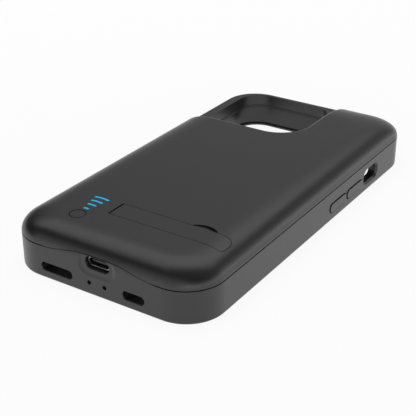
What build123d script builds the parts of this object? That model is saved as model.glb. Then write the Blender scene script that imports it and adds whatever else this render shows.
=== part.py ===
from build123d import *
from math import cos, degrees, radians, sin
import os

os.makedirs("parts", exist_ok=True)

# A battery case lying with its open front down. The charging end is towards -Y, the volume keys are on +X,
# and the camera window is in the -X, +Y corner of the back. All sizes are in millimetres.

# Phone bay
phone_length = 146.7
phone_width = 71.5
phone_thickness = 7.65
phone_side_room = 0.2
phone_depth_room = 0.2
lip_height = 0.7
lip_overhang = 0.9

# Walls of the two shells
side_wall = 3.55
top_wall = 2.2
chin_depth = 7.94
upper_wall = 1.9
cover_wall = 1.8
plan_corner = 14.15
base_round = 0.9
fit_gap = 0.08

# Stack of layers above the phone
tray_thickness = 1.2
frame_rise = 2.3
tape_thickness = 0.15
cell_thickness = 6.2
cell_headroom = 1.04

# Crowned edge of the back
side_shoulder = 12.8
near_shoulder = 10.7
far_shoulder = 21.8
near_flat_corner = 6.0
far_flat_corner = 9.0
crown_power = 2.25
crown_steps = 10

# Seam between frame and cover
seam_width = 0.4
arch_seam_width = 0.2
seam_depth = 0.55
arch_rise = 2.4
arch_flat = 8.0
arch_span = 49.0
tongue_thickness = 0.8
tongue_height = 1.0
tongue_root = 1.1
tongue_end_clear = 16.0

# Camera window
bay_length = 46.0
bay_width = 49.2
bay_corner = 13.0
rim_left = 5.0
rim_far = 2.9
rim_inner = 3.5
rim_drop = 4.75
window_outer_corner = 9.5
window_far_corner = 8.0
window_near_corner = 6.0
bay_wall = 1.4
bay_edge_round = 2.0
rim_edge_chamfer = 0.6

# Charging end
slot_height = 2.9
left_slot_length = 13.2
left_slot_x = -17.1
right_slot_length = 8.5
right_slot_x = 14.35
sound_hole_radius = 0.8
sound_hole_x = (-3.3, 2.95)
mouth_chamfer = 0.25
port_opening_width = 9.8
port_opening_height = 4.2
port_height = 12.0
dish_width = 12.6
dish_height = 7.4
dish_depth = 0.35
dish_slope = 1.2
dish_corner = 2.6

# Charging socket
socket_width = 8.94
socket_height = 3.26
socket_length = 7.35
socket_skin = 0.3
socket_recess = 1.7
socket_ear_length = 3.0
socket_ear_width = 1.3
tongue_board_width = 6.7
tongue_board_thickness = 0.7
tongue_board_setback = 0.8
contact_count = 6
contact_width = 0.32
contact_pitch = 0.9
contact_length = 3.6
contact_thickness = 0.06

# Phone plug
plug_width = 6.65
plug_thickness = 1.5
plug_reach = 6.6
plug_root = 1.0
plug_contacts = 8
plug_contact_width = 0.4
plug_contact_pitch = 0.72
plug_contact_length = 3.0
plug_tip_gap = 1.0
plug_base_width = 12.0
plug_base_depth = 4.2
plug_base_height = 5.6
plug_pocket_gap = 0.15
chin_inner_wall = 1.2
chin_floor = 1.5
flex_width = 6.0
flex_thickness = 0.2
flex_gap = 0.25
flex_socket_depth = 2.6

# Main board and what is on it
board_width = 56.0
board_length = 28.0
board_thickness = 0.8
board_lift = 1.05
board_end_gap = 1.1
board_corner = 5.0
board_notch_gap = 0.2
screw_radius = 0.8
screw_head_radius = 1.5
screw_head_height = 0.9
screw_inset = 4.0
boss_radius = 2.0
switch_side = 3.6
switch_height = 1.6
plunger_radius = 0.85
plunger_height = 0.5
led_length = 1.6
led_width = 0.8
led_height = 0.6
coil_side = 5.0
coil_height = 2.4
chip_sizes = ((4.0, 4.0, 0.85), (3.0, 3.0, 0.75), (5.0, 3.9, 1.2), (1.6, 0.8, 0.8), (1.6, 0.8, 0.8))
chip_places = ((-6.0, 14.0), (3.0, 22.0), (-6.0, 23.0), (-1.0, 17.5), (-1.0, 13.0))
coil_place = (11.0, 15.0)

# Cell
cell_width = 62.0
cell_round = 1.6
cell_gap = 0.6
cell_board_gap = 2.6
cell_bay_gap = 4.24
cell_flap_length = 2.2
cell_flap_thickness = 0.4
tab_width = 4.0
tab_thickness = 0.2
tab_pitch = 26.0
tab_pad_length = 3.0
rib_thickness = 1.0
rib_height = 2.5

# Power button
button_radius = 2.75
button_groove = 0.25
button_from_end = 14.5
button_from_side = 20.5
button_flange = 0.9
button_flange_thickness = 0.8
button_stem_radius = 1.2
button_travel = 0.3
button_clear = 0.05

# Charge lights
light_radii = (4.65, 7.75, 10.6, 13.45)
light_half_angle = 13.0
light_width = 0.85
light_clear = 0.05
light_plate_width = 8.2
light_plate_thickness = 0.8
light_leg_radius = 0.6
light_leg_gap = 0.3

# Kickstand
stand_width = 8.16
stand_from_end = 24.6
stand_hinge_from_side = 49.25
stand_tip_from_side = 5.0
stand_thickness = 1.4
stand_side_gap = 0.2
stand_hinge_gap = 0.95
stand_floor_gap = 0.25
stand_floor = 1.2
stand_pocket_wall = 1.8
stand_tip_corner = 4.0
stand_tip_small_corner = 1.0
barrel_radius = 1.1
pin_radius = 0.5
pin_run_gap = 0.05
pin_fit_gap = 0.02
pin_bite = 1.4
nail_length = 10.0
nail_bulge = 2.1
nail_depth = 0.75
nail_tilt = 5.0
nail_from_tip = 11.7

# Volume keys and ring switch slot
key_length = 12.9
key_height = 3.5
key_groove = 0.4
key_from_top = 49.95
key_pitch = 13.95
key_centre_height = 5.3
key_proud = 0.3
key_edge_chamfer = 0.08
key_skin = 1.7
key_flange = 0.9
key_flange_thickness = 0.9
key_flange_gap = 0.12
key_travel = 0.45
ring_slot_length = 11.4
ring_slot_height = 5.2
ring_slot_from_top = 35.6
ring_slot_centre_height = 6.1
ring_slot_corner = 2.2
ring_slot_chamfer = 0.8

# Overall sizes and levels that follow from the sizes above
bay_room_width = phone_width + 2 * phone_side_room
bay_room_length = phone_length + 2 * phone_side_room
case_width = bay_room_width + 2 * side_wall
case_length = bay_room_length + top_wall + chin_depth
tray_bottom = lip_height + phone_thickness + phone_depth_room
tray_top = tray_bottom + tray_thickness
phone_middle = lip_height + (phone_thickness + phone_depth_room) / 2
seam_level = tray_top + frame_rise
cell_bottom = tray_top + tape_thickness
cover_inside = cell_bottom + cell_thickness + cell_headroom
back_level = cover_inside + cover_wall
rim_level = back_level - rim_drop
shoulder_rise = back_level - seam_level
end_y = -case_length / 2
top_y = case_length / 2
left_x = -case_width / 2
right_x = case_width / 2
bay_wall_x = left_x + bay_width
bay_wall_y = top_y - bay_length
window_left = left_x + rim_left
window_right = bay_wall_x - rim_inner
window_near = bay_wall_y + rim_inner
window_far = top_y - rim_far
phone_centre_y = (chin_depth - top_wall) / 2
board_bottom = tray_top + board_lift
board_top = board_bottom + board_thickness
beyond = 5.0


def outline(side, near, far, near_corner, far_corner):
    # Rounded plan of the case, moved in from its sides, its charging end and its far end
    sheet = Pos(0, (near - far) / 2) * Rectangle(case_width - 2 * side, case_length - near - far)
    sheet = fillet(sheet.vertices().group_by(Axis.Y)[0], near_corner)
    return fillet(sheet.vertices().group_by(Axis.Y)[-1], far_corner)


def plan(depth):
    return outline(depth, depth, depth, plan_corner - depth, plan_corner - depth)


def prism(sheet, low, high):
    return extrude(Pos(0, 0, low) * sheet, amount=high - low)


def crown_section(depth, lean, inset):
    # Plan of the crown where its skin, at a depth under the outside, has leant in by a share of the shoulder
    foot_corner = plan_corner - depth
    side = depth + (side_shoulder - depth) * lean + inset
    near = depth + (near_shoulder - depth) * lean + inset
    far = depth + (far_shoulder - depth) * lean + inset
    near_corner = foot_corner + (near_flat_corner - foot_corner) * lean - inset
    far_corner = foot_corner + (far_flat_corner - foot_corner) * lean - inset
    return outline(side, near, far, near_corner, far_corner)


def crown(depth):
    # Part of the case above the seam, a little squarer than an ellipse, its whole skin moved inwards by a depth.
    # The sections crowd towards the seam and the flat of the back, where the skin runs out straight
    sections = []
    for step in range(crown_steps + 1):
        share = step / crown_steps
        turn = radians(90) * share ** 2 * (3 - 2 * share)
        lean = 1 - cos(turn) ** (2 / crown_power)
        rise = sin(turn) ** (2 / crown_power)
        level = seam_level + (shoulder_rise - depth) * rise
        sections.append(Pos(0, 0, level) * crown_section(depth, lean, 0))
    return loft(sections)


def end_plane():
    return Plane((0, end_y, 0), x_dir=(1, 0, 0), z_dir=(0, -1, 0))


def side_plane():
    return Plane((right_x, 0, 0), x_dir=(0, 1, 0), z_dir=(1, 0, 0))


def into_end(sketch, start, depth):
    # Prism of an end view sketch, from a depth behind the charging end's face to a greater depth
    return extrude(end_plane().offset(-start) * sketch, amount=start - depth)


def end_mouth(wide, narrow, start, depth):
    # Tapered mouth in the charging end, from a wide sketch at one depth to a narrow one at a greater depth
    return loft([end_plane().offset(-start) * wide, end_plane().offset(-depth) * narrow])


def into_side(sketch, start, depth):
    # Prism of a side view sketch, from a depth behind the key side's face to a greater depth
    return extrude(side_plane().offset(-start) * sketch, amount=start - depth)


def arch(lift):
    # Raised tab of the frame over the charging socket, seen from the end and lifted by a gap
    foot = seam_level + lift
    top = foot + arch_rise
    half_span = arch_span / 2
    half_flat = arch_flat / 2
    level = ((1, 0), (1, 0))
    rise = Spline((-half_span, foot), (-half_flat, top), tangents=level)
    crest = Line((-half_flat, top), (half_flat, top))
    fall = Spline((half_flat, top), (half_span, foot), tangents=level)
    sill = seam_level - fit_gap
    right = Line((half_span, foot), (half_span, sill))
    base = Line((half_span, sill), (-half_span, sill))
    left = Line((-half_span, sill), (-half_span, foot))
    return make_face(Curve() + [rise, crest, fall, right, base, left])


def window(growth):
    # Camera window in plan, grown outwards by a wall
    width = window_right - window_left + 2 * growth
    length = window_far - window_near + 2 * growth
    sheet = Pos((window_left + window_right) / 2, (window_near + window_far) / 2) * Rectangle(width, length)
    near_right = sheet.vertices().group_by(Axis.Y)[0].sort_by(Axis.X)[-1]
    sheet = fillet(near_right, bay_corner - rim_inner + growth)
    far_left = sheet.vertices().group_by(Axis.Y)[-1].sort_by(Axis.X)[0]
    sheet = fillet(far_left, window_outer_corner + growth)
    near_left = sheet.vertices().group_by(Axis.X)[0].sort_by(Axis.Y)[0]
    sheet = fillet(near_left, window_near_corner + growth)
    far_right = sheet.vertices().group_by(Axis.Y)[-1].sort_by(Axis.X)[-1]
    return fillet(far_right, window_far_corner + growth)


def bay(growth):
    # Lowered corner of the back round the camera window, open past the two outer sides
    low_x = left_x - beyond
    high_x = bay_wall_x + growth
    low_y = bay_wall_y - growth
    high_y = top_y + beyond
    sheet = Pos((low_x + high_x) / 2, (low_y + high_y) / 2) * Rectangle(high_x - low_x, high_y - low_y)
    inner = sheet.vertices().group_by(Axis.Y)[0].sort_by(Axis.X)[-1]
    return fillet(inner, bay_corner + growth)


def stand_plan(growth, hinge_growth):
    # Kickstand in plan from its hinge line, grown along its sides and tip, and by another amount past the hinge
    low_x = hinge_x - hinge_growth
    high_x = right_x - stand_tip_from_side + growth
    sheet = Pos((low_x + high_x) / 2, stand_y) * Rectangle(high_x - low_x, stand_width + 2 * growth)
    tip = sheet.vertices().group_by(Axis.X)[-1].sort_by(Axis.Y)
    sheet = fillet(tip[-1], stand_tip_corner + growth)
    tip = sheet.vertices().group_by(Axis.X)[-1].sort_by(Axis.Y)
    return fillet(tip[0], stand_tip_small_corner + growth)


def key_y(index):
    return top_y - key_from_top - index * key_pitch


def key_outline(growth):
    return SlotOverall(key_length + 2 * growth, key_height + 2 * growth)


def key_flange_outline(growth):
    return Rectangle(key_length - key_height + 2 * growth, key_height + 2 * (key_flange + growth))


def along_keys(shape):
    # Two copies of a side view sketch, at the volume up key and the volume down key
    return Sketch() + [Pos(key_y(index), key_centre_height) * shape for index in range(2)]


def light_arc(radius, half_angle, width):
    # Curved bar in plan, centred on the power button
    ring = Circle(radius + width / 2) - Circle(radius - width / 2)
    reach = 2 * (radius + width)
    half = reach * sin(radians(half_angle))
    high = reach * cos(radians(half_angle))
    wedge = make_face(Polyline((0, 0), (half, high), (-half, high), close=True))
    return Pos(button_x, button_y) * (ring & wedge)


button_x = left_x + button_from_side
button_y = end_y + button_from_end
hinge_x = right_x - stand_hinge_from_side
hinge_z = back_level - barrel_radius
stand_y = end_y + stand_from_end
plug_base_front = chin_depth - chin_inner_wall - plug_pocket_gap
plug_base_back = plug_base_front - plug_base_depth
flex_rise = plug_base_front - flex_thickness
flex_far = socket_recess + socket_length + flex_gap + flex_socket_depth
board_near = upper_wall + board_end_gap
board_far = board_near + board_length
board_centre_y = end_y + (board_near + board_far) / 2
cell_near = board_far + cell_board_gap
cell_far = case_length - bay_length - bay_wall - cell_bay_gap
cell_length = cell_far - cell_near
cell_centre_y = end_y + (cell_near + cell_far) / 2
screw_places = [
    (-board_width / 2 + screw_inset, end_y + board_far - screw_inset),
    (board_width / 2 - screw_inset, end_y + board_far - screw_inset),
    (board_width / 2 - screw_inset, end_y + board_near + 2 * screw_inset),
]

# Whole forms that both shells are cut from
outer_crown = crown(0)
cover_core = crown(cover_wall)
arch_crown = outer_crown - crown(upper_wall)
seam_skin = outer_crown - crown(seam_depth)


def make_front_frame():
    # Bumper round the phone: lip, side walls, chin with its sound slots, and the arch over the socket
    body = prism(plan(0), 0, seam_level)
    body = fillet(body.edges().group_by(Axis.Z)[0], base_round)
    bay_corner_radius = plan_corner - side_wall
    bay_room = RectangleRounded(bay_room_width, bay_room_length, bay_corner_radius)
    mouth = RectangleRounded(
        bay_room_width - 2 * lip_overhang, bay_room_length - 2 * lip_overhang, bay_corner_radius - lip_overhang
    )
    body -= prism(Pos(0, phone_centre_y) * bay_room, lip_height, tray_bottom + fit_gap)
    body -= prism(Pos(0, phone_centre_y) * mouth, -beyond, lip_height + fit_gap)
    body -= prism(plan(upper_wall), tray_bottom, seam_level + beyond)
    body += arch_crown & into_end(arch(0), -beyond, upper_wall + near_shoulder)
    for slot_x, slot_length in ((left_slot_x, left_slot_length), (right_slot_x, right_slot_length)):
        at = Pos(slot_x, phone_middle)
        narrow = at * SlotOverall(slot_length, slot_height)
        wide = at * SlotOverall(slot_length + 2 * mouth_chamfer, slot_height + 2 * mouth_chamfer)
        body -= into_end(narrow, -beyond, chin_depth + beyond)
        body -= end_mouth(wide, narrow, 0, mouth_chamfer)
    holes = Sketch() + [Pos(x, phone_middle) * Circle(sound_hole_radius) for x in sound_hole_x]
    body -= into_end(holes, -beyond, plug_base_back - plug_pocket_gap + fit_gap)
    pocket_depth = plug_base_depth + 2 * plug_pocket_gap
    pocket = Rectangle(plug_base_width + 2 * plug_pocket_gap, pocket_depth)
    pocket_y = end_y + (plug_base_back + plug_base_front) / 2
    body -= prism(Pos(0, pocket_y) * pocket, chin_floor, tray_bottom + beyond)
    blade_way = Rectangle(plug_width + 2 * plug_pocket_gap, plug_thickness + 2 * plug_pocket_gap)
    body -= into_end(Pos(0, phone_middle) * blade_way, plug_base_front, chin_depth + beyond)
    at = Pos(0, port_height)
    dish = at * RectangleRounded(dish_width, dish_height, dish_corner)
    dish_edge = at * RectangleRounded(
        dish_width + 4 * dish_slope, dish_height + 4 * dish_slope, dish_corner + 2 * dish_slope
    )
    body -= end_mouth(dish_edge, dish, -dish_depth, dish_depth)
    port_way = at * SlotOverall(port_opening_width, port_opening_height)
    port_edge = at * SlotOverall(port_opening_width + 2 * mouth_chamfer, port_opening_height + 2 * mouth_chamfer)
    body -= into_end(port_way, -beyond, upper_wall + beyond)
    body -= end_mouth(port_edge, port_way, dish_depth, dish_depth + mouth_chamfer)
    body -= into_side(along_keys(key_outline(key_groove)), -beyond, side_wall + beyond)
    body -= into_side(along_keys(key_flange_outline(key_groove)), key_skin, side_wall + beyond)
    slot_y = top_y - ring_slot_from_top
    ring_slot = Pos(slot_y, ring_slot_centre_height)
    ring_way = ring_slot * RectangleRounded(ring_slot_length, ring_slot_height, ring_slot_corner)
    body -= into_side(ring_way, -beyond, side_wall + beyond)
    flare = ring_slot * RectangleRounded(
        ring_slot_length + 2 * ring_slot_chamfer,
        ring_slot_height + 2 * ring_slot_chamfer,
        ring_slot_corner + ring_slot_chamfer,
    )
    inner_mouth = side_plane().offset(-ring_slot_chamfer) * ring_way
    body -= loft([side_plane() * flare, inner_mouth])
    return body


def soften_bay(body):
    # Rounds the upper edge of the camera bay and breaks the outer edge of its rim
    at_back = body.edges().filter_by_position(Axis.Z, back_level - fit_gap, back_level + fit_gap)
    at_back = at_back.filter_by_position(Axis.X, left_x, bay_wall_x + fit_gap)
    body = fillet(at_back.filter_by_position(Axis.Y, bay_wall_y - fit_gap, top_y), bay_edge_round)
    rise = (rim_level - seam_level) / shoulder_rise
    lean = 1 - (1 - rise ** crown_power) ** (1 / crown_power)
    low = rim_level - 2 * rim_edge_chamfer
    high = rim_level + rim_edge_chamfer
    foot = Pos(0, 0, low) * crown_section(0, lean, -rim_edge_chamfer)
    top = Pos(0, 0, high) * crown_section(0, lean, 2 * rim_edge_chamfer)
    return body - (prism(bay(-fit_gap), low, high) - loft([foot, top]))


def make_back_cover():
    # Crowned back with the camera bay, the pocket of the stand, and a tongue that locates it in the frame
    body = outer_crown - cover_core
    tongue = prism(plan(cover_wall - fit_gap), seam_level, seam_level + tongue_root)
    tongue += prism(plan(upper_wall + fit_gap), seam_level - tongue_height, seam_level)
    tongue -= prism(plan(upper_wall + fit_gap + tongue_thickness), 0, back_level)
    end_room = Box(case_width, tongue_end_clear, back_level * 2)
    tongue -= Pos(0, end_y + tongue_end_clear / 2, 0) * end_room
    body += tongue
    body += outer_crown & prism(bay(bay_wall), rim_level - cover_wall, back_level)
    body += prism(window(bay_wall), tray_top + fit_gap, rim_level) & prism(plan(upper_wall + fit_gap), 0, rim_level)
    body -= prism(bay(0), rim_level, back_level + beyond)
    body -= prism(window(0), 0, back_level + beyond)
    body = soften_bay(body)
    stand_room = stand_thickness + stand_floor_gap
    barrel_room = barrel_radius + stand_floor_gap
    tub_plan = stand_plan(stand_side_gap + stand_pocket_wall, barrel_room + stand_pocket_wall)
    stand_pocket_plan = stand_plan(stand_side_gap, stand_hinge_gap)
    body += (outer_crown - crown(stand_room + stand_floor)) & prism(tub_plan, seam_level, back_level)
    saddle = Cylinder(barrel_room + stand_floor, stand_width + 2 * (stand_side_gap + stand_pocket_wall))
    saddle_at = Pos(hinge_x, stand_y, hinge_z) * Rot(90, 0, 0)
    body += (saddle_at * saddle) & outer_crown
    body -= (outer_crown - crown(stand_room)) & prism(stand_pocket_plan, seam_level, back_level + beyond)
    body -= saddle_at * Cylinder(barrel_room, stand_width + 2 * stand_side_gap)
    pin_way = Cylinder(pin_radius + pin_fit_gap, stand_width + 2 * (stand_side_gap + pin_bite))
    body -= saddle_at * pin_way
    nail_radius = (nail_length ** 2 / 4 + nail_bulge ** 2) / (2 * nail_bulge)
    nail_x = right_x - stand_tip_from_side - nail_from_tip
    nail_edge = stand_y + stand_width / 2 + stand_side_gap
    nail = Pos(0, nail_bulge - nail_radius) * Circle(nail_radius)
    nail &= Rectangle(nail_length, 2 * nail_bulge)
    body -= Pos(nail_x, nail_edge, back_level) * Rot(0, nail_tilt, 0) * prism(nail, -nail_depth, beyond)
    button_way = Circle(button_radius + button_groove)
    body -= prism(Pos(button_x, button_y) * button_way, cover_inside - beyond, back_level + beyond)
    for radius in light_radii:
        bar = light_arc(radius, light_half_angle + degrees(light_clear / radius), light_width + 2 * light_clear)
        body -= prism(bar, cover_inside - beyond, back_level + beyond)
    body -= into_end(arch(fit_gap), -beyond, upper_wall + fit_gap + near_shoulder) & (
        outer_crown - crown(upper_wall + fit_gap)
    )
    groove = prism(plan(-beyond), seam_level, seam_level + seam_width)
    groove += into_end(arch(arch_seam_width), -beyond, near_shoulder)
    body -= groove & seam_skin
    return body


def make_inner_tray():
    # Floor between phone and cell, with the cell's ribs, the board's bosses and the way for the flex
    tray_edge = upper_wall + fit_gap
    body = prism(plan(tray_edge), tray_bottom, tray_top)
    body -= prism(window(-fit_gap), 0, back_level)
    rib_outer = Rectangle(cell_width + 2 * (cell_gap + rib_thickness), cell_length + 2 * (cell_gap + rib_thickness))
    rib_inner = Rectangle(cell_width + 2 * cell_gap, cell_length + 2 * cell_gap)
    gate = Rectangle(tab_pitch + 3 * tab_width, 2 * cell_board_gap)
    ribs = Pos(0, cell_centre_y) * (rib_outer - rib_inner)
    ribs -= Pos(0, cell_centre_y - cell_length / 2) * gate
    ribs -= window(bay_wall + cell_gap)
    body += prism(ribs, tray_top, tray_top + rib_height)
    for x, y in screw_places:
        body += Pos(x, y, tray_top) * Cylinder(boss_radius, board_lift, align=(Align.CENTER, Align.CENTER, Align.MIN))
        body -= Pos(x, y, tray_bottom) * Cylinder(screw_radius + pin_fit_gap, 2 * back_level)
    flex_slot = Rectangle(flex_width + 2 * flex_gap, flex_thickness + 2 * flex_gap)
    body -= prism(Pos(0, end_y + flex_rise) * flex_slot, 0, tray_top + beyond)
    return body


def make_cell_tape():
    return prism(Pos(0, cell_centre_y) * Rectangle(cell_width, cell_length), tray_top, cell_bottom)


def make_battery_cell():
    # Pouch cell with rounded edges and its sealed flap at the board's end
    body = Pos(0, cell_centre_y, cell_bottom + cell_thickness / 2) * Box(cell_width, cell_length, cell_thickness)
    body = fillet(body.edges().filter_by(Axis.Y), cell_round)
    flap_y = cell_centre_y - cell_length / 2 - cell_flap_length / 2
    flap = Box(cell_width - 2 * cell_round, cell_flap_length, cell_flap_thickness)
    return body + Pos(0, flap_y, cell_bottom + cell_thickness / 2) * flap


def make_cell_tabs():
    # Two strips from the cell's flap down to the board
    high = cell_bottom + cell_thickness / 2 - cell_flap_thickness / 2
    start = cell_near
    bend = cell_near - cell_flap_length
    pad = board_far - tab_pad_length
    upper = Polyline((start, high), (bend, high), (board_far, board_top + tab_thickness), (pad, board_top + tab_thickness))
    lower = Polyline(
        (pad, board_top), (board_far, board_top), (bend, high - tab_thickness), (start, high - tab_thickness)
    )
    close_far = Line((start, high - tab_thickness), (start, high))
    close_near = Line((pad, board_top + tab_thickness), (pad, board_top))
    section = make_face(Curve() + [upper, close_near, lower, close_far])
    profile_plane = Plane((0, end_y, 0), x_dir=(0, 1, 0), z_dir=(1, 0, 0))
    strip = extrude(profile_plane * section, amount=tab_width / 2, both=True)
    return [Pos(side * tab_pitch / 2, 0, 0) * strip for side in (-1, 1)]


def make_main_board():
    # Circuit board with a notch for the socket and holes for its screws
    sheet = Rectangle(board_width, board_length)
    sheet = Pos(0, board_centre_y) * fillet(sheet.vertices(), board_corner)
    notch_length = socket_recess + socket_length + board_notch_gap - board_near
    notch = Rectangle(socket_width + 2 * board_notch_gap, 2 * notch_length)
    sheet -= Pos(0, end_y + board_near) * notch
    for x, y in screw_places:
        sheet -= Pos(x, y) * Circle(screw_radius + pin_fit_gap)
    return prism(sheet, board_bottom, board_top)


def make_board_screws():
    seat = (Align.CENTER, Align.CENTER, Align.MIN)
    shank_length = board_top - tray_bottom - fit_gap
    screw = Pos(0, 0, board_top) * Cylinder(screw_head_radius, screw_head_height, align=seat)
    screw = chamfer(screw.edges().group_by(Axis.Z)[-1], screw_head_height / 3)
    screw += Pos(0, 0, board_top - shank_length) * Cylinder(screw_radius, shank_length, align=seat)
    return [Pos(x, y, 0) * screw for x, y in screw_places]


def on_board(x, from_end, length, width, height):
    block = Box(length, width, height, align=(Align.CENTER, Align.CENTER, Align.MIN))
    return Pos(x, end_y + from_end, board_top) * block


def make_board_chips():
    return [on_board(*place, *size) for place, size in zip(chip_places, chip_sizes)]


def make_power_coil():
    coil = on_board(*coil_place, coil_side, coil_side, coil_height)
    return chamfer(coil.edges().filter_by(Axis.Z), coil_side / 8)


def make_button_switch():
    body = on_board(button_x, button_from_end, switch_side, switch_side, switch_height)
    plunger = Cylinder(plunger_radius, plunger_height, align=(Align.CENTER, Align.CENTER, Align.MIN))
    return body + Pos(button_x, button_y, board_top + switch_height) * plunger


def make_indicator_leds():
    return [on_board(button_x, button_from_end + radius, led_length, led_width, led_height) for radius in light_radii]


def make_light_guide():
    # Clear moulding: four bars flush with the back, the plate that joins them, and a leg over each light
    plate_top = cover_inside - fit_gap
    plate_low = plate_top - light_plate_thickness
    near = light_radii[0] - light_width / 2
    far = light_radii[-1] + light_width
    plate = Pos(button_x, button_y + (near + far) / 2) * Rectangle(light_plate_width, far - near)
    body = prism(plate, plate_low, plate_top)
    body -= prism(Pos(button_x, button_y) * Circle(button_radius + button_flange + button_groove), 0, back_level)
    for radius in light_radii:
        body += prism(light_arc(radius, light_half_angle, light_width), plate_low, back_level)
        leg_low = board_top + led_height + light_leg_gap
        leg = Pos(button_x, button_y + radius) * Circle(light_leg_radius)
        body += prism(leg, leg_low, plate_low + fit_gap)
    return body


def make_power_button():
    # Round cap flush with the back, a flange that keeps it in, and a stem over the switch
    foot = board_top + switch_height + plunger_height + button_travel + button_clear
    flange_top = cover_inside - fit_gap
    flange_low = flange_top - button_flange_thickness
    at = Pos(button_x, button_y)
    body = prism(at * Circle(button_radius), flange_low, back_level)
    body = chamfer(body.edges().group_by(Axis.Z)[-1], button_groove / 2)
    body += prism(at * Circle(button_radius + button_flange), flange_low, flange_top)
    return body + prism(at * Circle(button_stem_radius), foot, flange_low + fit_gap)


def make_socket_shell():
    # Drawn metal tube of the charging socket, with two ears that sit on the board
    outer = SlotOverall(socket_width, socket_height)
    inner = SlotOverall(socket_width - 2 * socket_skin, socket_height - 2 * socket_skin)
    at = Pos(0, port_height)
    back = socket_recess + socket_length
    body = into_end(at * (outer - inner), socket_recess, back)
    body += into_end(at * outer, back - socket_skin, back)
    ear = Pos(0, board_top + socket_skin / 2) * Rectangle(socket_width + 2 * socket_ear_width, socket_skin)
    ears = into_end(ear, back - socket_ear_length, back)
    ears -= into_end(at * inner, socket_recess, back - socket_skin)
    return body + ears


def make_socket_tongue():
    at = Pos(0, port_height)
    back = socket_recess + socket_length - socket_skin
    blade = Rectangle(tongue_board_width, tongue_board_thickness)
    body = into_end(at * blade, socket_recess + tongue_board_setback, back)
    collar = SlotOverall(socket_width - 2 * socket_skin, socket_height - 2 * socket_skin)
    return body + into_end(at * collar, back - socket_ear_length / 2, back)


def contact_row(count, pitch, width, level):
    middle = (count - 1) / 2
    return [Pos((index - middle) * pitch, level) * width for index in range(count)]


def make_socket_contacts():
    # Spring strips on both faces of the socket's tongue
    strip = Rectangle(contact_width, contact_thickness)
    rise = tongue_board_thickness / 2 + contact_thickness / 2
    rows = contact_row(contact_count, contact_pitch, strip, port_height + rise)
    rows += contact_row(contact_count, contact_pitch, strip, port_height - rise)
    start = socket_recess + tongue_board_setback + contact_width
    return [into_end(one, start, start + contact_length) for one in rows]


def make_phone_plug():
    # Flat plug with a rounded end that enters the phone's port
    blade = Pos(0, phone_middle) * RectangleRounded(plug_width, plug_thickness, plug_thickness / 2 - fit_gap)
    root = plug_base_front - plug_root
    body = into_end(blade, root, chin_depth + plug_reach)
    return chamfer(body.edges().group_by(Axis.Y)[-1], plug_thickness / 5)


def make_plug_contacts():
    pad = Rectangle(plug_contact_width, contact_thickness)
    rise = plug_thickness / 2 + contact_thickness / 2
    rows = contact_row(plug_contacts, plug_contact_pitch, pad, phone_middle + rise)
    rows += contact_row(plug_contacts, plug_contact_pitch, pad, phone_middle - rise)
    tip = chin_depth + plug_reach - plug_tip_gap
    return [into_end(one, tip - plug_contact_length, tip) for one in rows]


def make_plug_base():
    # Moulded block that holds the plug in the chin
    block = Pos(0, phone_middle) * Rectangle(plug_base_width, plug_base_height)
    body = into_end(block, plug_base_back, plug_base_front)
    body = chamfer(body.edges().filter_by(Axis.Y), plug_root / 2)
    body -= into_end(
        Pos(0, phone_middle) * RectangleRounded(plug_width, plug_thickness, plug_thickness / 2 - fit_gap),
        plug_base_front - plug_root,
        plug_base_front + beyond,
    )
    return body


def make_plug_flex():
    # Flexible strip from the plug's base up through the tray to its socket under the board
    low = phone_middle + plug_base_height / 2
    run_level = tray_top + flex_gap
    half = flex_thickness / 2
    corner = [
        (flex_rise - half, low),
        (flex_rise + half, low),
        (flex_rise + half, run_level),
        (flex_far, run_level),
        (flex_far, run_level + flex_thickness),
        (flex_rise - half, run_level + flex_thickness),
    ]
    section = make_face(Polyline(*corner, close=True))
    profile_plane = Plane((0, end_y, 0), x_dir=(0, 1, 0), z_dir=(1, 0, 0))
    return extrude(profile_plane * section, amount=flex_width / 2, both=True)


def make_flex_socket():
    low = tray_top + flex_gap + flex_thickness
    block = Rectangle(flex_width, flex_socket_depth)
    return prism(Pos(0, end_y + flex_far - flex_socket_depth / 2) * block, low, board_bottom)


def make_kickstand():
    # Strip cut from the crowned back itself, so that it follows the shoulder, with a bored hinge barrel
    body = (outer_crown - crown(stand_thickness)) & prism(stand_plan(0, 0), seam_level, back_level)
    at_hinge = Pos(hinge_x, stand_y, hinge_z) * Rot(90, 0, 0)
    body += at_hinge * Cylinder(barrel_radius, stand_width)
    return body - at_hinge * Cylinder(pin_radius + pin_run_gap, stand_width + beyond)


def make_hinge_pin():
    length = stand_width + 2 * (stand_side_gap + pin_bite - pin_fit_gap)
    return Pos(hinge_x, stand_y, hinge_z) * Rot(90, 0, 0) * Cylinder(pin_radius, length)


def make_volume_key(index):
    # Long key that stands a little proud, with a flange behind the frame's skin
    at = Pos(key_y(index), key_centre_height)
    flange_front = key_skin + key_flange_gap
    body = into_side(at * key_outline(0), -key_proud, flange_front + key_flange_thickness)
    body = chamfer(body.edges().group_by(Axis.X)[-1], key_edge_chamfer)
    return body + into_side(at * key_flange_outline(0), flange_front, flange_front + key_flange_thickness)


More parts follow.
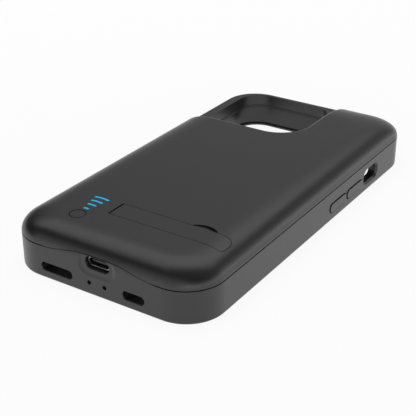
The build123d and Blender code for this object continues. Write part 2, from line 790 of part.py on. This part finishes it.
nodes = {
    "front_frame": make_front_frame(),
    "back_cover": make_back_cover(),
    "inner_tray": make_inner_tray(),
    "cell_tape": make_cell_tape(),
    "battery_cell": make_battery_cell(),
    "cell_tabs": make_cell_tabs(),
    "main_board": make_main_board(),
    "board_screws": make_board_screws(),
    "board_chips": make_board_chips(),
    "power_coil": make_power_coil(),
    "button_switch": make_button_switch(),
    "indicator_leds": make_indicator_leds(),
    "light_guide": make_light_guide(),
    "power_button": make_power_button(),
    "socket_shell": make_socket_shell(),
    "socket_tongue": make_socket_tongue(),
    "socket_contacts": make_socket_contacts(),
    "phone_plug": make_phone_plug(),
    "plug_contacts": make_plug_contacts(),
    "plug_base": make_plug_base(),
    "plug_flex": make_plug_flex(),
    "flex_socket": make_flex_socket(),
    "kickstand": make_kickstand(),
    "hinge_pin": make_hinge_pin(),
    "volume_up_key": make_volume_key(0),
    "volume_down_key": make_volume_key(1),
}

for name, shape in nodes.items():
    solid = Compound(children=list(shape)) if isinstance(shape, list) else shape
    export_step(solid, f"parts/{name}.step")
    print(name, round(solid.volume, 1))
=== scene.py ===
import bpy
from math import cos, radians, sin
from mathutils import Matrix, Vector

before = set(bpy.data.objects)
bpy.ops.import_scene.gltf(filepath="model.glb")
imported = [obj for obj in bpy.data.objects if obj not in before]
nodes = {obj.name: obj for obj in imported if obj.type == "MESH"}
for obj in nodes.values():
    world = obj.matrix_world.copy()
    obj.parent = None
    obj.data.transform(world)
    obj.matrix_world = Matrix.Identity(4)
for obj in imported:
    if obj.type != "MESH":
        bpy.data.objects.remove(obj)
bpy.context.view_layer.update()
scene = bpy.context.scene
scene.view_settings.view_transform = "Standard"
print("frame loaded:", len(nodes), "nodes")


# camera at the photo's angle, aimed a little in front of the middle of the case
cameraView = dict(azimuth=33.04, elevation=27.45, distance=0.36537, target=(0.00399, -0.01928, 0.0080),
                  lens=87.28, sensor=36.0, nearest=0.01)


def placeCamera(view):
    turn = radians(view["azimuth"])
    lift = radians(view["elevation"])
    back = Vector((sin(turn) * cos(lift), -cos(turn) * cos(lift), sin(lift)))
    bpy.ops.object.camera_add(location=Vector(view["target"]) + back * view["distance"],
                              rotation=(radians(90) - lift, 0.0, turn))
    camera = bpy.context.active_object
    camera.data.lens = view["lens"]
    camera.data.sensor_width = view["sensor"]
    camera.data.clip_start = view["nearest"]
    scene.camera = camera


placeCamera(cameraView)
print("camera placed")


# studio: a pale floor with a low white backdrop round it, a wide soft box above, a little behind and to the left,
# and an even fill from the ceiling that the satin doesn't mirror
floorLook = dict(size=6.0, colour=(0.93, 0.93, 0.93, 1.0), roughness=0.9, glow=0.9)
softBoxes = dict(
    overhead=dict(place=(-0.45, 0.50, 1.08), size=(1.8, 0.8), power=4.8, mirrored=True),
    ceiling=dict(place=(-0.10, -0.10, 1.30), size=(1.6, 1.6), power=11.5, mirrored=False),
)
# the room is dim, and brighter behind the case, in front of it and near the floor, brightest low at the right;
# each ramp runs along one axis of the direction looked in
roomLight = dict(
    white=(1.0, 1.0, 1.0, 1.0),
    level=0.02,
    notLeft=dict(axis="X", start=-0.90, full=-0.55),
    backdrop=dict(axis="Z", start=0.10, full=0.0),
    glows=dict(
        behind=dict(level=0.14, ramps=[dict(axis="Y", start=-0.10, full=0.50)]),
        low=dict(level=0.27, ramps=[dict(axis="Z", start=0.75, full=0.15)]),
        front=dict(level=0.50, ramps=[dict(axis="Y", start=-0.45, full=-0.75)]),
        lowRight=dict(level=1.65, ramps=[dict(axis="X", start=0.10, full=0.60),
                                         dict(axis="Z", start=0.55, full=0.0)]),
    ),
)


def addMaths(tree, operation, first, second):
    node = tree.nodes.new("ShaderNodeMath")
    node.operation = operation
    for socket, value in zip(node.inputs, (first, second)):
        if isinstance(value, float):
            socket.default_value = value
        else:
            tree.links.new(value, socket)
    return node.outputs[0]


def addRamp(tree, axes, ramp):
    node = tree.nodes.new("ShaderNodeMapRange")
    node.interpolation_type = "SMOOTHSTEP"
    node.inputs["From Min"].default_value = ramp["start"]
    node.inputs["From Max"].default_value = ramp["full"]
    tree.links.new(axes.outputs[ramp["axis"]], node.inputs["Value"])
    return node.outputs["Result"]


# what the camera sees, and what shows in metal and through clear pieces
def addSight(tree):
    path = tree.nodes.new("ShaderNodeLightPath")
    mirrored = addMaths(tree, "MAXIMUM", path.outputs["Is Glossy Ray"], path.outputs["Is Transmission Ray"])
    return path.outputs["Is Camera Ray"], mirrored


def mixShaders(tree, share, first, second, out):
    mix = tree.nodes.new("ShaderNodeMixShader")
    for socket, source in zip(mix.inputs, (share, first.outputs[0], second.outputs[0])):
        tree.links.new(source, socket)
    tree.links.new(mix.outputs[0], out.inputs[0])


def addFloor(look):
    bpy.ops.object.select_all(action="DESELECT")
    bpy.ops.mesh.primitive_plane_add(size=look["size"], location=(0.0, 0.0, 0.0))
    floor = bpy.context.active_object
    floor.name = "studioFloor"
    material = bpy.data.materials.new("paleFloor")
    material.use_nodes = True
    tree = material.node_tree
    tree.nodes.clear()
    paper = tree.nodes.new("ShaderNodeBsdfDiffuse")
    paper.inputs["Color"].default_value = look["colour"]
    paper.inputs["Roughness"].default_value = look["roughness"]
    white = tree.nodes.new("ShaderNodeEmission")
    direct, mirrored = addSight(tree)
    seen = addMaths(tree, "MAXIMUM", direct, mirrored)
    share = addMaths(tree, "MULTIPLY", seen, look["glow"])
    mixShaders(tree, share, paper, white, tree.nodes.new("ShaderNodeOutputMaterial"))
    floor.data.materials.append(material)


def addSoftBox(name, box):
    place = Vector(box["place"])
    aim = (-place).to_track_quat("-Z", "Y")
    bpy.ops.object.light_add(type="AREA", location=place, rotation=aim.to_euler())
    lamp = bpy.context.active_object
    lamp.name = name
    lamp.data.shape = "RECTANGLE"
    lamp.data.size, lamp.data.size_y = box["size"]
    lamp.data.energy = box["power"]
    lamp.visible_glossy = box["mirrored"]


def addRoom(room):
    world = bpy.data.worlds.new("studioRoom")
    scene.world = world
    world.use_nodes = True
    tree = world.node_tree
    tree.nodes.clear()
    where = tree.nodes.new("ShaderNodeTexCoord")
    axes = tree.nodes.new("ShaderNodeSeparateXYZ")
    tree.links.new(where.outputs["Generated"], axes.inputs[0])
    total = room["level"]
    for glow in room["glows"].values():
        share = glow["level"]
        for ramp in glow["ramps"]:
            share = addMaths(tree, "MULTIPLY", addRamp(tree, axes, ramp), share)
        total = addMaths(tree, "ADD", share, total)
    total = addMaths(tree, "MULTIPLY", total, addRamp(tree, axes, room["notLeft"]))
    dim = tree.nodes.new("ShaderNodeBackground")
    dim.inputs["Color"].default_value = room["white"]
    tree.links.new(total, dim.inputs["Strength"])
    white = tree.nodes.new("ShaderNodeBackground")
    white.inputs["Color"].default_value = room["white"]
    direct, mirrored = addSight(tree)
    mirrored = addMaths(tree, "MULTIPLY", mirrored, addRamp(tree, axes, room["backdrop"]))
    seen = addMaths(tree, "MAXIMUM", direct, mirrored)
    mixShaders(tree, seen, dim, white, tree.nodes.new("ShaderNodeOutputWorld"))


addFloor(floorLook)
for boxName, box in softBoxes.items():
    addSoftBox(boxName, box)
addRoom(roomLight)
print("studio lit")


# shared effects: the fine spark-eroded grain of a moulded face, and fine lines drawn along one axis of a metal or
# film, each with a slow drift of its tone
grainPattern = dict(scale=7000.0, detail=2.0, driftScale=60.0, driftDetail=3.0)
linePattern = dict(scale=(9000.0, 300.0, 9000.0), detail=2.0, driftScale=400.0, driftDetail=2.0)


def startEffect(name, scaleName, scaleKind, pattern):
    group = bpy.data.node_groups.new(name, "ShaderNodeTree")
    sockets = group.interface
    scale = sockets.new_socket(scaleName, in_out="INPUT", socket_type=scaleKind)
    scale.default_value = pattern["scale"]
    driftScale = sockets.new_socket("Drift Scale", in_out="INPUT", socket_type="NodeSocketFloat")
    driftScale.default_value = pattern["driftScale"]
    for outName in ("Height", "Drift"):
        sockets.new_socket(outName, in_out="OUTPUT", socket_type="NodeSocketFloat")
    given = group.nodes.new("NodeGroupInput")
    result = group.nodes.new("NodeGroupOutput")
    where = group.nodes.new("ShaderNodeTexCoord")
    height = group.nodes.new("ShaderNodeTexNoise")
    height.inputs["Detail"].default_value = pattern["detail"]
    drift = group.nodes.new("ShaderNodeTexNoise")
    drift.inputs["Detail"].default_value = pattern["driftDetail"]
    group.links.new(where.outputs["Object"], drift.inputs["Vector"])
    group.links.new(given.outputs["Drift Scale"], drift.inputs["Scale"])
    group.links.new(height.outputs["Fac"], result.inputs["Height"])
    group.links.new(drift.outputs["Fac"], result.inputs["Drift"])
    return group, given, where, height


def makeMouldedGrain(pattern):
    group, given, where, grain = startEffect("mouldedGrain", "Grain Scale", "NodeSocketFloat", pattern)
    group.links.new(where.outputs["Object"], grain.inputs["Vector"])
    group.links.new(given.outputs["Grain Scale"], grain.inputs["Scale"])
    return group


def makeDrawnLines(pattern):
    group, given, where, lines = startEffect("drawnLines", "Line Scale", "NodeSocketVector", pattern)
    stretch = group.nodes.new("ShaderNodeVectorMath")
    stretch.operation = "MULTIPLY"
    lines.inputs["Scale"].default_value = 1.0  # the stretch sets the size of the lines
    group.links.new(where.outputs["Object"], stretch.inputs[0])
    group.links.new(given.outputs["Line Scale"], stretch.inputs[1])
    group.links.new(stretch.outputs[0], lines.inputs["Vector"])
    return group


effects = dict(grain=makeMouldedGrain(grainPattern), lines=makeDrawnLines(linePattern))
print("shared effects made")


# what a finish has where its own values don't say otherwise
plainFinish = dict(metallic=0.0, index=1.6, grain=7000.0, bump=0.2, depth=0.00002)


def makeFinish(name, values):
    look = {**plainFinish, **values}
    material = bpy.data.materials.new(name)
    material.use_nodes = True
    tree = material.node_tree
    shader = tree.nodes["Principled BSDF"]
    shader.inputs["Metallic"].default_value = look["metallic"]
    shader.inputs["IOR"].default_value = look["index"]
    effect = tree.nodes.new("ShaderNodeGroup")
    if "lineScale" in look:
        effect.node_tree = effects["lines"]
        effect.inputs["Line Scale"].default_value = look["lineScale"]
    else:
        effect.node_tree = effects["grain"]
        effect.inputs["Grain Scale"].default_value = look["grain"]
    tone = tree.nodes.new("ShaderNodeMix")
    tone.data_type = "RGBA"
    tone.inputs["A"].default_value = (*look["dark"], 1.0)
    tone.inputs["B"].default_value = (*look["light"], 1.0)
    gloss = tree.nodes.new("ShaderNodeMapRange")
    smoothest, roughest = look["roughness"]
    gloss.inputs["To Min"].default_value = smoothest
    gloss.inputs["To Max"].default_value = roughest
    bump = tree.nodes.new("ShaderNodeBump")
    bump.inputs["Strength"].default_value = look["bump"]
    bump.inputs["Distance"].default_value = look["depth"]
    tree.links.new(effect.outputs["Drift"], tone.inputs["Factor"])
    tree.links.new(tone.outputs["Result"], shader.inputs["Base Color"])
    tree.links.new(effect.outputs["Drift"], gloss.inputs["Value"])
    tree.links.new(gloss.outputs["Result"], shader.inputs["Roughness"])
    tree.links.new(effect.outputs["Height"], bump.inputs["Height"])
    tree.links.new(bump.outputs["Normal"], shader.inputs["Normal"])
    if "glow" in look:
        shader.inputs["Emission Color"].default_value = (*look["glow"], 1.0)
        shader.inputs["Emission Strength"].default_value = look["glowStrength"]
    return material


# one finish for each kind of piece, with the nodes that wear it; the lines of a metal run along the case or across
# it, and those of the film along its strip
satin = dict(dark=(0.0100, 0.0100, 0.0104), light=(0.0118, 0.0118, 0.0122), roughness=(0.31, 0.36))
alongCase = (9000.0, 300.0, 9000.0)
acrossCase = (400.0, 9000.0, 9000.0)
alongStrip = (6000.0, 200.0, 200.0)
finishes = dict(
    satinShell=dict(wears=("front_frame", "back_cover"), **satin),
    satinStand=dict(wears=("kickstand",), **satin),
    satinKey=dict(wears=("volume_up_key", "volume_down_key", "power_button"), dark=(0.0098, 0.0098, 0.0102),
                  light=(0.0114, 0.0114, 0.0118), roughness=(0.30, 0.35)),
    plainTray=dict(wears=("inner_tray",), dark=(0.008, 0.008, 0.0083), light=(0.010, 0.010, 0.0104),
                   roughness=(0.5, 0.6), grain=4000.0),
    cellFoil=dict(wears=("battery_cell",), dark=(0.55, 0.56, 0.57), light=(0.66, 0.67, 0.68),
                  roughness=(0.32, 0.42), metallic=1.0, grain=900.0, bump=0.35, depth=0.0001),
    whiteTape=dict(wears=("cell_tape",), dark=(0.72, 0.72, 0.70), light=(0.82, 0.82, 0.80),
                   roughness=(0.6, 0.7), grain=2500.0),
    nickelStrip=dict(wears=("cell_tabs",), dark=(0.52, 0.50, 0.46), light=(0.64, 0.62, 0.58),
                     roughness=(0.25, 0.35), metallic=1.0, lineScale=alongCase),
    greenMask=dict(wears=("main_board",), dark=(0.012, 0.085, 0.040), light=(0.020, 0.120, 0.060),
                   roughness=(0.22, 0.32), grain=1500.0, bump=0.1),
    screwSteel=dict(wears=("board_screws",), dark=(0.20, 0.20, 0.21), light=(0.30, 0.30, 0.31),
                    roughness=(0.3, 0.4), metallic=1.0, grain=5000.0),
    chipBlack=dict(wears=("board_chips", "plug_base"), dark=(0.014, 0.014, 0.015), light=(0.020, 0.020, 0.022),
                   roughness=(0.5, 0.6), grain=6000.0),
    coilFerrite=dict(wears=("power_coil",), dark=(0.09, 0.09, 0.09), light=(0.14, 0.14, 0.14),
                     roughness=(0.55, 0.65), grain=3500.0),
    switchCover=dict(wears=("button_switch",), dark=(0.48, 0.48, 0.48), light=(0.58, 0.58, 0.58),
                     roughness=(0.28, 0.36), metallic=1.0, lineScale=acrossCase),
    lampWhite=dict(wears=("indicator_leds",), dark=(0.80, 0.80, 0.72), light=(0.88, 0.88, 0.80),
                   roughness=(0.3, 0.4)),
    lightBlue=dict(wears=("light_guide",), dark=(0.005, 0.09, 0.18), light=(0.006, 0.11, 0.22),
                   roughness=(0.3, 0.4), index=1.4, glow=(0.0, 0.295, 0.49), glowStrength=1.0),
    socketSteel=dict(wears=("socket_shell",), dark=(0.40, 0.40, 0.41), light=(0.52, 0.52, 0.53),
                     roughness=(0.28, 0.36), metallic=1.0, lineScale=alongCase),
    socketBlack=dict(wears=("socket_tongue", "flex_socket"), dark=(0.010, 0.010, 0.010),
                     light=(0.014, 0.014, 0.014), roughness=(0.35, 0.45)),
    contactGold=dict(wears=("socket_contacts", "plug_contacts"), dark=(0.72, 0.50, 0.20),
                     light=(0.83, 0.60, 0.27), roughness=(0.2, 0.3), metallic=1.0, lineScale=alongCase),
    plugSteel=dict(wears=("phone_plug",), dark=(0.60, 0.60, 0.61), light=(0.70, 0.70, 0.71),
                   roughness=(0.22, 0.3), metallic=1.0, lineScale=alongCase),
    amberFilm=dict(wears=("plug_flex",), dark=(0.34, 0.13, 0.02), light=(0.45, 0.19, 0.035),
                   roughness=(0.2, 0.3), lineScale=alongStrip),
    groundPin=dict(wears=("hinge_pin",), dark=(0.50, 0.50, 0.50), light=(0.60, 0.60, 0.60),
                   roughness=(0.15, 0.22), metallic=1.0, lineScale=alongCase),
)
for finishName, values in finishes.items():
    finish = makeFinish(finishName, values)
    for nodeName in values["wears"]:
        nodes[nodeName].data.materials.clear()
        nodes[nodeName].data.materials.append(finish)
print("finishes set:", len(finishes))
